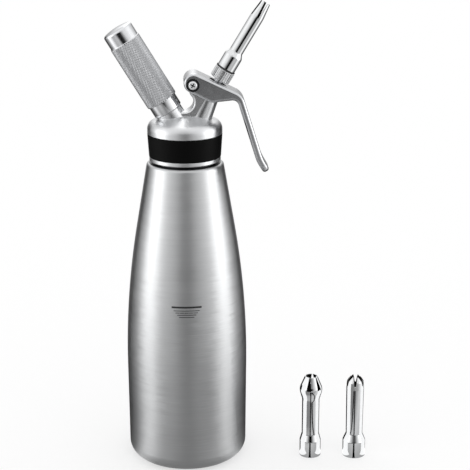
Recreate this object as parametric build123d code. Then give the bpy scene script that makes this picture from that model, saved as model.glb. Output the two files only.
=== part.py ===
from build123d import *
import math
import os

# Cream whipper with a squeeze lever, a charger holder, one nozzle screwed on and two spare nozzles.
# Origin at the centre of the bottle's base, +Z up, +X towards the lever, charger holder towards -X.
# Driving dimensions, in millimetres and degrees.

# Bottle
base_r = 48.2               # outside radius at the foot
body_r = 49.4               # outside radius where the side and the cone would meet
base_corner_r = 12.0
cone_angle = 9.7            # slope of the upper body from upright
side_blend_r = 660.0        # sweep between side and cone
shoulder_r = 30.4
shoulder_z = 249.2
shoulder_round_r = 2.5
bottle_wall = 1.0
neck_r = 23.6               # outside radius of the neck, at the root of its thread
neck_wall = 1.2
neck_height = 18.8
neck_thread_start = 5.3     # from the shoulder to the middle of the thread's first turn
neck_thread_pitch = 4.0
neck_thread_depth = 1.3
thread_turns = 2.0          # turns of every thread on the whipper
thread_gap = 0.4            # clearance between a thread's crest and the other's root
thread_foot_share = 0.28    # half width of a thread's foot, as a share of its pitch
thread_crest_share = 0.13   # half width of a thread's crest, as a share of its pitch
thread_sunk_share = 0.15    # how far a thread's foot lies in the wall, as a share of its depth

# Head
gasket_thickness = 2.6
gasket_width = 2.4
seal_gap = 0.15             # between the gasket and the head above it
head_lift_gap = 1.6         # from the shoulder to the head's lower ring
ring_height = 3.5
ring_taper = 0.8
ring_proud = 1.4            # lower ring beyond the collar's seat
skirt_wall = 1.6
collar_height = 18.5
collar_low_thickness = 1.6
collar_top_thickness = 2.8
collar_edge_r = 0.6
collar_fit = 0.05
rim_height = 8.2
rim_proud = 2.75            # rim beyond the collar's seat
rim_round_r = 7.0
dome_rise = 6.3
arms_drop = 11.5            # below the rim's top, where both arm axes cross the bottle's axis

# Charger side, distances along its axis from the crossing point
charger_tilt = 31.3
boss_r = 10.7
boss_top = 24.4
nipple_r = 9.35             # at the root of its thread
nipple_length = 10.4
nipple_thread_start = 2.6   # from the boss to the middle of the nipple thread's first turn
stub_r = 5.0
stub_length = 6.1
nipple_groove_depth = 0.7
nipple_groove_half = 0.7    # half the width of the groove for the nipple's seal
ring_fit = 0.02             # round an O-ring in its groove
spigot_r = 3.0
spigot_length = 3.9
spigot_end = 1.4            # closed end of the spigot
outlet_r = 0.6
sleeve_wall = 0.9
screw_thread_pitch = 2.0    # pitch of the nipple's and the nozzles' threads
screw_thread_depth = 0.65
screw_thread_gap = 0.3
press_gap = 0.05            # between pieces that are fixed in each other
gas_hole_r = 1.2
pin_r = 0.8
pin_bore_r = 0.35
pin_length = 11.3
pin_tip = 1.2
pin_sunk = 1.2              # pin's point below the nipple's top
charger_seal_thickness = 1.65
charger_recess_depth = 5.6
charger_r = 9.0
charger_length = 64.0
charger_neck_r = 4.4
charger_neck_length = 8.0
charger_shoulder = 7.0
charger_end_r = 7.0
charger_neck_round_r = 1.5
charger_shoulder_round_r = 5.0
pierced_hole_r = 1.3
pierced_hole_depth = 3.8
charger_room = 0.4          # round and above the charger in its holder
holder_lift = 0.4           # between the boss and the holder's rim
holder_low_r = 11.65
holder_low_length = 9.1
holder_grip_r = 12.8
holder_grip_length = 54.4
holder_cap_r = 12.2
holder_cap_length = 11.0
holder_step = 0.4
holder_taper = 1.0          # between the holder's thread and its bore
holder_end_rise = 1.7       # of the holder's domed end above its edge
holder_edge_r = 2.2

# Valve side, distances along its axis from the crossing point
valve_tilt = 31.1
arm_r = 8.0
arm_top = 37.0
arm_root = 12.0
arm_root_shift = 3.2        # how far the arm's foot leans away from the charger
arm_root_r = 10.0
arm_root_depth_r = 8.8
chamber_r = 6.4
valve_seat = 11.9
spring_seat = 29.0
spring_well_r = 6.0
stem_r = 3.5
stem_bore_r = 1.8
stem_fit = 0.08             # running clearance of the stem in the head
stem_port_r = 1.0
stem_port_rise = 1.7        # from the valve's seat to the port's lower edge
plug_r = 5.2
plug_height = 4.0
plug_seal_thickness = 1.85
plug_seal_r = 5.6
stem_ring_s = 25.0
stem_ring_wire_r = 0.42
stem_ring_groove = 0.9
stem_groove_share = 1.6     # half the groove's width, as a share of the ring's wire radius
valve_travel = 4.05
spring_wire_r = 0.5
spring_coil_r = 4.9
spring_turns = 6
cap_flange_r = 7.6
cap_flange_thickness = 1.8
cap_hub_r = 4.2
cap_hub_length = 1.8
cap_room = 0.55             # between the pressed cap and the arm's top
stem_top = 61.0
adaptor_bottom = 53.1
adaptor_r = 8.2
adaptor_height = 9.2
adaptor_edge = 0.6
adaptor_thread_r = 5.6      # root of the thread that takes the nozzles
adaptor_thread_length = 7.7
adaptor_bore_r = 2.6
nozzle_thread_start = 2.8   # from the adaptor's top to the middle of its thread's first turn
nozzle_seal_thickness = 0.95
nozzle_seal_r = 7.95

# Lever, in the valve's frame: t across the valve axis away from the pivot, s along the axis
pivot_t = -16.7
pivot_s = 39.9
lever_half_width = 11.4
ear_thickness = 2.4
lever_end_r = 7.7
lever_end_lift = 1.5        # middle of the lever's round end, above the pivot
web_rise_angle = 5.5        # slope of the web against a square cut through the valve axis
web_thickness = 5.6
bend_t = 21.0
bend_r = 12.0
handle_angle = 41.6
handle_length = 53.5
handle_thickness = 5.4
handle_corner_r = 6.0
tip_angle = 27.5
tip_length = 11.0
tip_bend_r = 30.0
ear_low_t = 2.8
ear_low_s = 35.1
ear_low_r = 8.0
ear_join_t = 19.0
ear_join_r = 5.0
lever_edge_r = 2.2
pocket_reach = 12.0         # pocket under the web, beyond the ears' lowest corner
web_slot_r = 5.2
web_slot_travel = 2.0
pad_r = 1.5
pad_inset = 0.3             # pads from the edge of the web's slot
pad_sunk = 0.5              # pads' ends in the ears
pad_gap = 0.3               # between the lever's pads and the spring cap
hood_room = 0.5             # between the lug's knuckle and the lever's hood
hood_end_drop = 1.4
knuckle_r = 4.9
lug_half_width = 7.6
lug_edge_r = 2.0
saddle_r = 7.5
saddle_x = -0.5
saddle_rise = 21.1          # above the point where the arms' axes cross
barrel_r = 2.5
barrel_fit = 0.06           # running clearance of the pivot in the lug
barrel_head_r = 4.2
barrel_head_thickness = 1.5
barrel_thread_r = 1.5
barrel_thread_depth = 12.0
screw_length = 10.0
screw_head_r = 3.4
screw_head_height = 1.7
screw_head_round_r = 1.2
screw_recess_r = 5.2
screw_recess_depth = 0.7
screw_head_sunk = 0.1       # shank's start inside the head
cross_width = 0.9
cross_length = 4.0
cross_depth = 0.8

# Nozzles, heights from their lower end
nozzle_wall = 0.8
nozzle_shoulder_round_r = 3.0
vent_hole_r = 0.8
vent_hole_z = 5.0
straight_base_r = 7.37
straight_base_height = 11.2
straight_taper = 3.7
straight_tube_r = 5.43
straight_length = 59.0
straight_tip_r = 3.95
straight_tip_round_r = 20.0
straight_slot_length = 12.8
straight_slot_low_width = 1.8
straight_slot_top_width = 2.8
straight_slots = 5
straight_slot_turn = 0.0
straight_vent_angle = 220.0
spare_base_height = 13.5
spare_taper = 6.0
spare_length = 70.0
tulip_base_r = 8.8
tulip_tube_r = 7.15
tulip_head_length = 20.0    # from the end of the straight tube to the petals' points
tulip_bulb_drop = 11.0      # from the widest place to the petals' points
tulip_bulb_r = 9.8
tulip_tip_r = 5.2
tulip_bulb_round_r = 9.0
tulip_neck_round_r = 8.0
tulip_petals = 6
tulip_gap_low_width = 4.3
tulip_gap_top_width = 0.6
tulip_gap_depth = 10.5      # of the gaps between the petals
tulip_gap_turn = -17.0
tulip_x = 101.6
tulip_y = -15.3
tulip_vent_angle = 280.0
star_base_r = 9.4
star_tube_low_r = 6.9
star_tube_top_r = 7.25
star_dome_length = 10.5     # from the end of the flared tube to the tip
star_tip_r = 3.9
star_cap_height = 4.0
star_cap_taper = 0.4
star_cap_round_r = 3.0
star_notches = 6
star_notch_depth = 7.5
star_notch_low_width = 1.0
star_notch_top_width = 3.8
star_notch_turn = -8.0
star_x = 138.0
star_y = -17.2
star_vent_angle = 225.0

overcut = 1.0               # how far a cutting shape runs past the face it cuts

# Levels and places that follow from the driving dimensions
lip_z = shoulder_z + neck_height
ceiling_z = lip_z + gasket_thickness + seal_gap
skirt_bottom_z = shoulder_z + head_lift_gap
collar_bottom_z = skirt_bottom_z + ring_height
collar_top_z = collar_bottom_z + collar_height
rim_top_z = collar_top_z + rim_height
arms_z = rim_top_z - arms_drop
skirt_bore_r = neck_r + neck_thread_depth + thread_gap
collar_seat_r = skirt_bore_r + skirt_wall
rim_r = collar_seat_r + rim_proud
holder_bottom = boss_top + holder_lift
holder_thread_r = nipple_r + screw_thread_depth + screw_thread_gap
nozzle_thread_r = adaptor_thread_r + screw_thread_depth + screw_thread_gap
adaptor_top = adaptor_bottom + adaptor_height
nozzle_bottom = adaptor_top + nozzle_seal_thickness + 2 * press_gap
nipple_top = boss_top + nipple_length
nipple_groove_r = stub_r - nipple_groove_depth
charger_recess = nipple_top - charger_recess_depth
charger_mouth = charger_recess + charger_seal_thickness + 2 * press_gap
ear_inner_y = lever_half_width - ear_thickness
cap_bottom = arm_top + valve_travel + cap_room
cap_top = cap_bottom + cap_flange_thickness
saddle_z = arms_z + saddle_rise
tulip_neck_z = spare_length - tulip_head_length
tulip_bulb_z = spare_length - tulip_bulb_drop
tulip_gap_z = spare_length - tulip_gap_depth
star_dome_z = spare_length - star_dome_length
star_notch_z = spare_length - star_notch_depth

valve_sin = math.sin(math.radians(valve_tilt))
valve_cos = math.cos(math.radians(valve_tilt))
charger_sin = math.sin(math.radians(charger_tilt))
charger_cos = math.cos(math.radians(charger_tilt))
valve_frame = Plane((0, 0, arms_z), (valve_cos, 0, -valve_sin), (valve_sin, 0, valve_cos))
charger_frame = Plane((0, 0, arms_z), (charger_cos, 0, charger_sin), (-charger_sin, 0, charger_cos))


def corner_arc(before, corner, after, radius):
    """Start, middle and end of the arc that rounds a corner between two straight sides."""
    back = (before - corner).normalized()
    on = (after - corner).normalized()
    half = math.radians(back.get_angle(on) / 2)
    reach = radius / math.tan(half)
    middle = corner + (back + on).normalized() * (radius / math.sin(half) - radius)
    return corner + back * reach, middle, corner + on * reach


def outline(points, rounds=None, bulge=None):
    """Closed face through corner points, with a radius at each corner index in rounds.

    The last side is straight, or an arc through the point given as bulge.
    """
    corners = [Vector(*point) for point in points]
    edges = []
    starts = []
    ends = []
    for index, corner in enumerate(corners):
        start = corner
        end = corner
        if rounds and index in rounds:
            after = corners[(index + 1) % len(corners)]
            start, middle, end = corner_arc(corners[index - 1], corner, after, rounds[index])
            edges.append(ThreePointArc(start, middle, end))
        starts.append(start)
        ends.append(end)
    for end, start in zip(ends, starts[1:]):
        edges.append(Line(end, start))
    edges.append(ThreePointArc(ends[-1], bulge, starts[0]) if bulge else Line(ends[-1], starts[0]))
    return make_face(edges)


def turned(points, rounds=None):
    """Solid of revolution about Z through corners given as (radius, height)."""
    return revolve(Plane.XZ * outline(points, rounds), Axis.Z)


def domed(points, rounds=None):
    """Solid of revolution whose last corner is joined to its first, on the axis, by an arc that is level there."""
    top = points[0]
    edge = points[-1]
    rise = top[1] - edge[1]
    dome_r = (edge[0] ** 2 + rise ** 2) / (2 * rise)
    half_r = edge[0] / 2
    half_z = top[1] - dome_r + math.sqrt(dome_r ** 2 - half_r ** 2)
    section = make_face(Polyline(*points) + ThreePointArc(edge, (half_r, half_z), top))
    for index, radius in (rounds or {}).items():
        corner = section.vertices().sort_by_distance(points[index])[0]
        section = fillet(corner, radius)
    return revolve(Plane.XZ * section, Axis.Z)


def tube(inner_r, outer_r, bottom, top):
    """Plain ring about Z."""
    return turned([(inner_r, bottom), (outer_r, bottom), (outer_r, top), (inner_r, top)])


def rod(radius, bottom, top):
    """Plain cylinder about Z."""
    return Pos(0, 0, bottom) * Cylinder(radius, top - bottom, align=(Align.CENTER, Align.CENTER, Align.MIN))


def thread_ridge(root_r, depth, pitch, start, inward=False):
    """Helical ridge on a cylinder about Z, its middle starting at the given height."""
    side = -1 if inward else 1
    foot = pitch * thread_foot_share
    crest = pitch * thread_crest_share
    sunk = depth * thread_sunk_share
    path = Pos(0, 0, start) * Helix(pitch, pitch * thread_turns, root_r)
    section_plane = Plane(path @ 0, (side, 0, 0), path % 0)
    section = outline([(-sunk, -foot), (depth, -crest), (depth, crest), (-sunk, foot)])
    return sweep(section_plane * section, path, is_frenet=True)


def along_y(radius, from_y, to_y, t=pivot_t, s=pivot_s):
    """Cylinder along Y in the valve's frame."""
    seat = Plane((t, from_y, s), (1, 0, 0), (0, 1, 0))
    return seat * Cylinder(radius, to_y - from_y, align=(Align.CENTER, Align.CENTER, Align.MIN))


def from_valve(t, s):
    """Place in the XZ plane of a point given in the valve's frame."""
    return (t * valve_cos + s * valve_sin, arms_z - t * valve_sin + s * valve_cos)


def tangent_point(point, centre, radius, side):
    """Where a line from the point touches the circle, on the side given as 1 or -1."""
    across = point[0] - centre[0]
    up = point[1] - centre[1]
    angle = math.atan2(up, across) + side * math.acos(radius / math.hypot(across, up))
    return (centre[0] + radius * math.cos(angle), centre[1] + radius * math.sin(angle))


def make_bottle():
    cone_slope = math.tan(math.radians(cone_angle))
    knee_z = shoulder_z - (body_r - shoulder_r) / cone_slope
    outer = turned(
        [(0, 0), (base_r, 0), (body_r, knee_z), (shoulder_r, shoulder_z), (neck_r, shoulder_z),
         (neck_r, lip_z), (0, lip_z)],
        {1: base_corner_r, 2: side_blend_r, 3: shoulder_round_r})
    bore_r = neck_r - neck_wall
    inner = turned(
        [(0, bottle_wall), (base_r - bottle_wall, bottle_wall), (body_r - bottle_wall, knee_z),
         (shoulder_r - bottle_wall, shoulder_z - bottle_wall), (bore_r, shoulder_z - bottle_wall),
         (bore_r, lip_z + overcut), (0, lip_z + overcut)],
        {1: base_corner_r - bottle_wall, 2: side_blend_r, 3: shoulder_round_r - bottle_wall})
    ridge = thread_ridge(neck_r, neck_thread_depth, neck_thread_pitch, shoulder_z + neck_thread_start)
    return outer - inner + ridge


def make_head_gasket():
    outer_r = neck_r + (gasket_width - neck_wall) / 2
    return tube(outer_r - gasket_width, outer_r, lip_z, lip_z + gasket_thickness)


def make_head_casting():
    ring_r = collar_seat_r + ring_proud
    head = domed(
        [(0, rim_top_z + dome_rise), (0, ceiling_z), (skirt_bore_r, ceiling_z), (skirt_bore_r, skirt_bottom_z),
         (ring_r - ring_taper, skirt_bottom_z), (ring_r, skirt_bottom_z + ring_taper),
         (ring_r, collar_bottom_z), (collar_seat_r, collar_bottom_z), (collar_seat_r, collar_top_z),
         (rim_r, collar_top_z), (rim_r, rim_top_z)],
        {10: rim_round_r})

    boss_root = (ceiling_z - arms_z + boss_r * charger_sin + skirt_wall) / charger_cos
    boss = charger_frame * rod(boss_r, boss_root, boss_top)
    foot = Pos(arm_root_shift, 0, arm_root) * Ellipse(arm_root_r, arm_root_depth_r)
    arm = valve_frame * loft([foot, Pos(0, 0, arm_top) * Circle(arm_r)])
    head = head + boss + arm + make_lug()

    ridge_start = shoulder_z + neck_thread_start - neck_thread_pitch / 2
    head = head + thread_ridge(skirt_bore_r, neck_thread_depth, neck_thread_pitch, ridge_start, inward=True)
    valve_bore = (rod(chamber_r, -chamber_r, valve_seat) + rod(stem_r + stem_fit, 0, arm_top)
                  + rod(spring_well_r, spring_seat, arm_top + overcut))
    stub_end = boss_top - stub_length - spigot_length - gas_hole_r
    stub_bore = rod(stub_r + press_gap, stub_end, boss_top + overcut)
    gas_x = -stub_end * charger_sin - stub_r + 1.5 * gas_hole_r
    gas_hole = Pos(gas_x, 0, 0) * rod(gas_hole_r, ceiling_z - overcut, arms_z + stub_end * charger_cos)
    pivot_bore = along_y(barrel_r + barrel_fit, -lug_half_width - overcut, lug_half_width + overcut)
    return head - valve_frame * (valve_bore + pivot_bore) - charger_frame * stub_bore - gas_hole


def make_lug():
    """Plate that carries the lever's pivot and fills the saddle between the two arms."""
    pivot_x, pivot_z = from_valve(pivot_t, pivot_s)
    saddle_top_z = saddle_z + saddle_r
    saddle_side = (saddle_x + saddle_r, saddle_top_z)
    pivot = (pivot_x, pivot_z)
    arm_corner = from_valve(-arm_r, arm_top)
    plate = outline([
        (saddle_x - saddle_r, rim_top_z), (saddle_x - saddle_r, saddle_z), (saddle_x, saddle_z),
        (saddle_x, saddle_top_z), saddle_side, tangent_point(saddle_side, pivot, knuckle_r, -1), pivot,
        tangent_point(arm_corner, pivot, knuckle_r, 1), arm_corner, from_valve(0, arm_top - overcut),
        from_valve(0, arm_root)])
    plate = plate - Pos(saddle_x, saddle_top_z) * Circle(saddle_r) + Pos(pivot_x, pivot_z) * Circle(knuckle_r)
    lug = extrude(Plane.XZ * plate, lug_half_width, both=True)
    sides = (-lug_half_width, lug_half_width)
    saddle_edges = [lug.edges().sort_by_distance((saddle_x - saddle_r / 2, y, saddle_z))[0] for y in sides]
    return fillet(saddle_edges, lug_edge_r)


def make_grip_collar():
    inner_r = collar_seat_r + collar_fit
    points = [(inner_r, collar_bottom_z), (collar_seat_r + collar_low_thickness, collar_bottom_z),
              (collar_seat_r + collar_top_thickness, collar_top_z), (inner_r, collar_top_z)]
    return turned(points, {1: collar_edge_r, 2: collar_edge_r})


def make_piercing_nipple():
    stub_bottom = boss_top - stub_length
    spigot_bottom = stub_bottom - spigot_length
    groove_low = boss_top - stub_length / 2 - nipple_groove_half
    groove_high = boss_top - stub_length / 2 + nipple_groove_half
    recess_r = charger_neck_r + 2 * charger_room
    bore_r = pin_r + press_gap
    bore_s = spigot_bottom + spigot_end
    body = turned([
        (0, spigot_bottom), (spigot_r, spigot_bottom), (spigot_r, stub_bottom), (stub_r, stub_bottom),
        (stub_r, groove_low), (nipple_groove_r, groove_low), (nipple_groove_r, groove_high),
        (stub_r, groove_high), (stub_r, boss_top), (nipple_r, boss_top), (nipple_r, nipple_top),
        (recess_r, nipple_top), (recess_r, charger_recess), (bore_r, charger_recess), (bore_r, bore_s),
        (0, bore_s)])
    ridge = thread_ridge(nipple_r, screw_thread_depth, screw_thread_pitch, boss_top + nipple_thread_start)
    outlet = Pos(0, 0, bore_s + bore_r) * Rot(0, 90, 0) * Cylinder(outlet_r, 4 * spigot_r)
    return charger_frame * (body + ridge - outlet)


def ring_seal(ring_r, wire_r, height):
    """O-ring about Z."""
    return Pos(0, 0, height) * Torus(ring_r, wire_r)


def make_nipple_seal():
    wire_r = nipple_groove_depth / 2 - ring_fit
    return charger_frame * ring_seal((stub_r + nipple_groove_r) / 2, wire_r, boss_top - stub_length / 2)


def make_piercing_pin():
    top = nipple_top - pin_sunk
    point_r = pin_bore_r + press_gap
    return charger_frame * turned([
        (pin_bore_r, top - pin_length), (pin_r, top - pin_length), (pin_r, top - pin_tip), (point_r, top),
        (pin_bore_r, top)])


def make_charger_seal():
    bottom = charger_recess + press_gap
    outer_r = charger_neck_r + 2 * charger_room - press_gap
    return charger_frame * tube(pin_r + 2 * charger_room, outer_r, bottom, bottom + charger_seal_thickness)


def make_check_sleeve():
    top = boss_top - stub_length - press_gap
    inner_r = spigot_r + press_gap
    return charger_frame * tube(inner_r, inner_r + sleeve_wall, top - spigot_length + 3 * press_gap, top)


def make_gas_charger():
    neck_end = charger_mouth + charger_neck_length
    end = charger_mouth + charger_length
    hole_end = charger_mouth + pierced_hole_depth
    return charger_frame * turned(
        [(pierced_hole_r, charger_mouth), (charger_neck_r, charger_mouth), (charger_neck_r, neck_end),
         (charger_r, neck_end + charger_shoulder), (charger_r, end), (0, end), (0, hole_end),
         (pierced_hole_r, hole_end)],
        {2: charger_neck_round_r, 3: charger_shoulder_round_r, 4: charger_end_r})


def make_charger_holder():
    low_top = holder_bottom + holder_low_length
    grip_top = low_top + holder_grip_length
    end = grip_top + holder_cap_length
    bore_r = charger_r + charger_room
    bore_end = charger_mouth + charger_length + charger_room
    body = domed(
        [(0, end + holder_end_rise), (0, bore_end), (bore_r, bore_end), (bore_r, nipple_top + holder_taper),
         (holder_thread_r, nipple_top), (holder_thread_r, holder_bottom), (holder_low_r, holder_bottom),
         (holder_low_r, low_top), (holder_grip_r, low_top + holder_step), (holder_grip_r, grip_top),
         (holder_cap_r, grip_top + holder_step), (holder_cap_r, end)],
        {2: charger_end_r, 11: holder_edge_r})
    ridge_start = boss_top + nipple_thread_start - screw_thread_pitch / 2
    ridge = thread_ridge(holder_thread_r, screw_thread_depth, screw_thread_pitch, ridge_start, inward=True)
    return charger_frame * (body + ridge)


def make_valve_stem():
    plug_top = valve_seat - plug_seal_thickness - press_gap
    groove_r = stem_r - stem_ring_groove
    groove_half = stem_ring_wire_r * stem_groove_share
    port_s = valve_seat + stem_port_rise + stem_port_r
    stem = turned([
        (0, plug_top - plug_height), (plug_r, plug_top - plug_height), (plug_r, plug_top), (stem_r, plug_top),
        (stem_r, stem_ring_s - groove_half), (groove_r, stem_ring_s - groove_half),
        (groove_r, stem_ring_s + groove_half), (stem_r, stem_ring_s + groove_half), (stem_r, stem_top),
        (stem_bore_r, stem_top), (stem_bore_r, port_s - stem_port_r), (0, port_s - stem_port_r)])
    port = Pos(0, 0, port_s) * Rot(0, 90, 0) * Cylinder(stem_port_r, 3 * stem_r)
    return valve_frame * (stem - port)


def make_plug_seal():
    top = valve_seat - press_gap
    return valve_frame * tube(stem_r + press_gap, plug_seal_r, top - plug_seal_thickness, top)


def make_stem_o_ring():
    return valve_frame * ring_seal(stem_r - stem_ring_groove / 2, stem_ring_wire_r, stem_ring_s)


def spring_path():
    """Coil as pairs of arcs, each pair a quarter turn that joins its neighbours smoothly."""
    low = spring_seat + spring_wire_r + press_gap
    rise = (cap_bottom - spring_wire_r - press_gap - low) / (4 * spring_turns)
    slope = rise / (spring_coil_r * math.pi / 2)
    length = math.sqrt(1 + slope ** 2)
    points = []
    tangents = []
    for quarter in range(4 * spring_turns + 1):
        angle = math.radians(90 * quarter)
        place = (spring_coil_r * math.cos(angle), spring_coil_r * math.sin(angle), low + rise * quarter)
        points.append(Vector(*place))
        tangents.append(Vector(-math.sin(angle), math.cos(angle), slope) / length)
    arcs = []
    for start, end, leave, arrive in zip(points, points[1:], tangents, tangents[1:]):
        step = end - start
        along = step.dot(leave + arrive)
        bend = 2 * (1 - leave.dot(arrive))
        reach = (math.sqrt(along ** 2 + bend * step.dot(step)) - along) / bend
        middle = (start + end + (leave - arrive) * reach) / 2
        first = TangentArc(start, middle, tangent=leave)
        arcs.append(first)
        arcs.append(TangentArc(middle, end, tangent=first % 1))
    return Wire([arc.edge() for arc in arcs])


def make_valve_spring():
    path = spring_path()
    section = Plane(path @ 0, z_dir=path % 0) * Circle(spring_wire_r)
    return valve_frame * sweep(section, path)


def make_spring_cap():
    bore_r = stem_r + press_gap
    hub_bottom = cap_bottom - cap_hub_length
    return valve_frame * turned([
        (bore_r, hub_bottom), (cap_hub_r, hub_bottom), (cap_hub_r, cap_bottom), (cap_flange_r, cap_bottom),
        (cap_flange_r, cap_top), (bore_r, cap_top)])


def lever_corners():
    """Corner points of the lever's side view, as (t, s)."""
    rise = math.radians(web_rise_angle)
    fall = math.radians(handle_angle)
    tip = math.radians(tip_angle)
    round_t = pivot_t - lever_end_lift * math.sin(rise)
    round_s = pivot_s + lever_end_lift * math.cos(rise)
    top_t = round_t - lever_end_r * math.sin(rise)
    top_s = round_s + lever_end_r * math.cos(rise)
    bend_s = top_s + (bend_t - top_t) * math.tan(rise)
    knee_t = bend_t + handle_length * math.cos(fall)
    knee_s = bend_s - handle_length * math.sin(fall)
    end_t = knee_t + tip_length * math.cos(tip)
    end_s = knee_s - tip_length * math.sin(tip)
    inner_end_t = end_t - handle_thickness * math.sin(tip)
    inner_end_s = end_s - handle_thickness * math.cos(tip)
    mean = (fall + tip) / 2
    inner_knee_t = knee_t - handle_thickness * math.sin(mean)
    inner_knee_s = knee_s - handle_thickness * math.cos(mean)
    return {
        "round": (round_t, round_s),
        "top": (top_t, top_s),
        "bend": (bend_t, bend_s),
        "knee": (knee_t, knee_s),
        "end": (end_t, end_s),
        "inner_end": (inner_end_t, inner_end_s),
        "inner_knee": (inner_knee_t, inner_knee_s),
    }


def make_lever():
    corner = lever_corners()
    rise = math.radians(web_rise_angle)
    inner_t, inner_s = corner["inner_knee"]
    join_s = inner_s + (inner_t - ear_join_t) * math.tan(math.radians(handle_angle))
    ear_low = (ear_low_t, ear_low_s)
    ear_back = tangent_point(ear_low, corner["round"], lever_end_r, -1)
    round_t, round_s = corner["round"]
    far_end = (round_t - lever_end_r * math.cos(rise), round_s - lever_end_r * math.sin(rise))
    side = outline(
        [corner["top"], corner["bend"], corner["knee"], corner["end"], corner["inner_end"],
         corner["inner_knee"], (ear_join_t, join_s), ear_low, ear_back],
        {1: bend_r, 2: tip_bend_r + handle_thickness, 5: tip_bend_r, 6: ear_join_r, 7: ear_low_r},
        far_end)
    lever = extrude(Plane.XZ * side, lever_half_width, both=True)

    sides = (-lever_half_width, lever_half_width)
    tip_t = (corner["end"][0] + corner["inner_end"][0]) / 2
    tip_s = (corner["end"][1] + corner["inner_end"][1]) / 2
    tip_corners = [lever.edges().sort_by_distance((tip_t, y, tip_s))[0] for y in sides]
    lever = fillet(tip_corners, handle_corner_r)
    web_t = (corner["top"][0] + bend_t) / 2
    web_s = (corner["top"][1] + corner["bend"][1]) / 2
    long_edges = [lever.edges().sort_by_distance((web_t, y, web_s))[0] for y in sides]
    lever = fillet(long_edges, lever_edge_r)

    under_s = corner["top"][1] - web_thickness / math.cos(rise)
    pocket_t = ear_low_t + pocket_reach
    hood_s = pivot_s - hood_end_drop
    pocket = outline([
        (corner["top"][0], under_s), (pocket_t, under_s + (pocket_t - corner["top"][0]) * math.tan(rise)),
        (pocket_t, 0), (pivot_t - 3 * lever_end_r, 0), (pivot_t - 3 * lever_end_r, hood_s),
        (corner["top"][0], hood_s)])
    pocket = pocket + Pos(pivot_t, pivot_s) * Circle(knuckle_r + hood_room)
    lever = lever - extrude(Plane.XZ * pocket, ear_inner_y, both=True)

    slot = SlotCenterToCenter(2 * web_slot_travel, 2 * web_slot_r)
    lever = lever - Pos(0, 0, cap_top) * extrude(slot, adaptor_bottom - cap_top)
    pad_s = cap_top + pad_gap + pad_r
    pad_start = web_slot_r + pad_inset
    pad_end = ear_inner_y + pad_sunk
    lever = lever + along_y(pad_r, pad_start, pad_end, 0, pad_s)
    lever = lever + along_y(pad_r, -pad_end, -pad_start, 0, pad_s)
    lever = lever - along_y(barrel_r + press_gap, -2 * lever_half_width, 2 * lever_half_width)
    lever = lever - along_y(screw_recess_r, -2 * lever_half_width, screw_recess_depth - lever_half_width)
    return valve_frame * lever


def make_pivot_barrel():
    near_y = screw_recess_depth - lever_half_width
    barrel = along_y(barrel_r, near_y, lever_half_width)
    barrel = barrel + along_y(barrel_head_r, lever_half_width, lever_half_width + barrel_head_thickness)
    thread_hole = along_y(barrel_thread_r + press_gap, near_y - overcut, near_y + barrel_thread_depth)
    return valve_frame * (barrel - thread_hole)


def make_pivot_screw():
    seat_y = screw_recess_depth - lever_half_width
    head = along_y(screw_head_r, seat_y - screw_head_height, seat_y)
    rim = head.edges().filter_by(GeomType.CIRCLE).sort_by(Axis.Y)[0]
    screw = fillet(rim, screw_head_round_r)
    screw = screw + along_y(barrel_thread_r, seat_y - screw_head_sunk, seat_y + screw_length)
    for turn in (0, 90):
        slot = Rot(0, turn, 0) * Box(cross_length, 2 * cross_depth, cross_width)
        screw = screw - Pos(pivot_t, seat_y - screw_head_height, pivot_s) * slot
    return valve_frame * screw


def make_nozzle_adaptor():
    end = adaptor_top + adaptor_thread_length
    bore_r = stem_r + press_gap
    edge_r = adaptor_r - adaptor_edge
    body = turned([
        (bore_r, adaptor_bottom), (edge_r, adaptor_bottom), (adaptor_r, adaptor_bottom + adaptor_edge),
        (adaptor_r, adaptor_top - adaptor_edge), (edge_r, adaptor_top), (adaptor_thread_r, adaptor_top),
        (adaptor_thread_r, end), (adaptor_bore_r, end), (adaptor_bore_r, stem_top + press_gap),
        (bore_r, stem_top + press_gap)])
    ridge_start = adaptor_top + nozzle_thread_start
    ridge = thread_ridge(adaptor_thread_r, screw_thread_depth, screw_thread_pitch, ridge_start)
    return valve_frame * (body + ridge)


def make_nozzle_seal():
    bottom = adaptor_top + press_gap
    return valve_frame * tube(nozzle_thread_r, nozzle_seal_r, bottom, bottom + nozzle_seal_thickness)


def nozzle_shell(outer, outer_rounds, inner, inner_rounds, vent_angle):
    """Nozzle about Z from its outer and inner corners, with its thread and vent hole."""
    shell = turned(outer, outer_rounds) - turned(inner, inner_rounds)
    ridge_start = nozzle_thread_start - nozzle_seal_thickness - 2 * press_gap - screw_thread_pitch / 2
    ridge = thread_ridge(nozzle_thread_r, screw_thread_depth, screw_thread_pitch, ridge_start, inward=True)
    vent = Pos(0, 0, vent_hole_z) * Rot(0, 90, vent_angle) * rod(vent_hole_r, 0, 3 * nozzle_thread_r)
    return shell + ridge - vent


def thread_socket():
    """Inside corners of a nozzle's threaded socket, up to where its tube begins."""
    socket_top = adaptor_thread_length + screw_thread_pitch / 2
    return [(0, -overcut), (nozzle_thread_r, -overcut), (nozzle_thread_r, socket_top)]


def radial_slots(count, turn, low_z, low_width, top_z, top_width, reach):
    """Tapered slots cut from the axis outwards, spread evenly round Z."""
    low = low_width / 2
    top = top_width / 2
    shape = outline([(-low, low_z), (low, low_z), (top, top_z), (-top, top_z)])
    slot = extrude(Plane((0, 0, 0), (0, 1, 0), (1, 0, 0)) * shape, reach)
    return [Rot(0, 0, turn + 360 * index / count) * slot for index in range(count)]


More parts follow.
